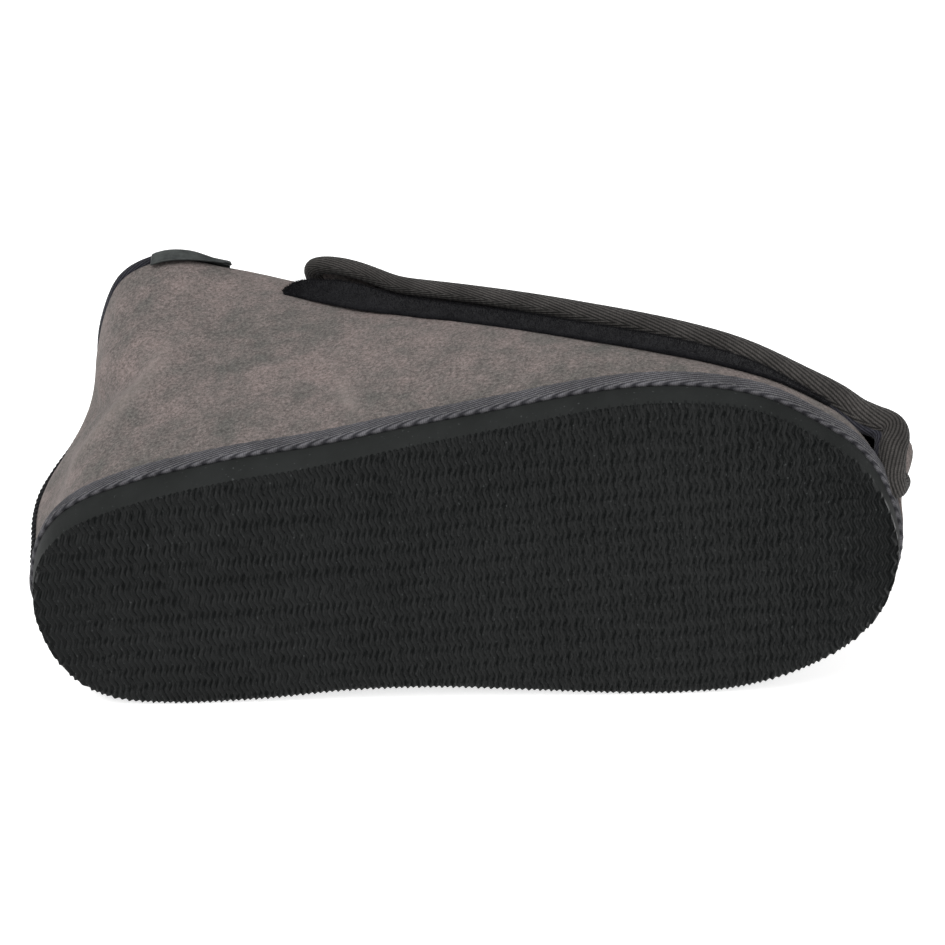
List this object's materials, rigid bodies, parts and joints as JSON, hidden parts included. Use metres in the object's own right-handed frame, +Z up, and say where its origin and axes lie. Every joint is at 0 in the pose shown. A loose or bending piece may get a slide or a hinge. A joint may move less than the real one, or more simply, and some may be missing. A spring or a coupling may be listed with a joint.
{
  "type": "ankle slipper boot",
  "caption": "Suede ankle slipper with a long overlapping front flap, tape-bound edges and a flat foam sole, lying on its side.",
  "frame": {"origin": "centre of the bounding box on the floor under the lying shoe", "axes": "+X from heel to toe, +Y from the sole towards the collar, +Z up from the floor to the lateral side"},
  "size_m": [0.3004, 0.146, 0.1247],
  "materials": {
    "foam": "matt foam rubber, near black",
    "felt": "soft lining",
    "suede": "short nap suede, taupe grey",
    "pile": "short black pile",
    "twill": "herringbone twill tape, dark grey",
    "leather": "smooth black leather, blank",
    "cord": "black overlock thread"
  },
  "bodies": {
    "root": {"outsole": "foam", "insole": "felt", "upper": "suede", "flap": "suede", "pile_strip": "pile", "sole_tape": "twill", "collar_tape": "twill", "flap_tape": "twill", "label": "leather", "back_cord": "cord"}
  },
  "joints": []
}
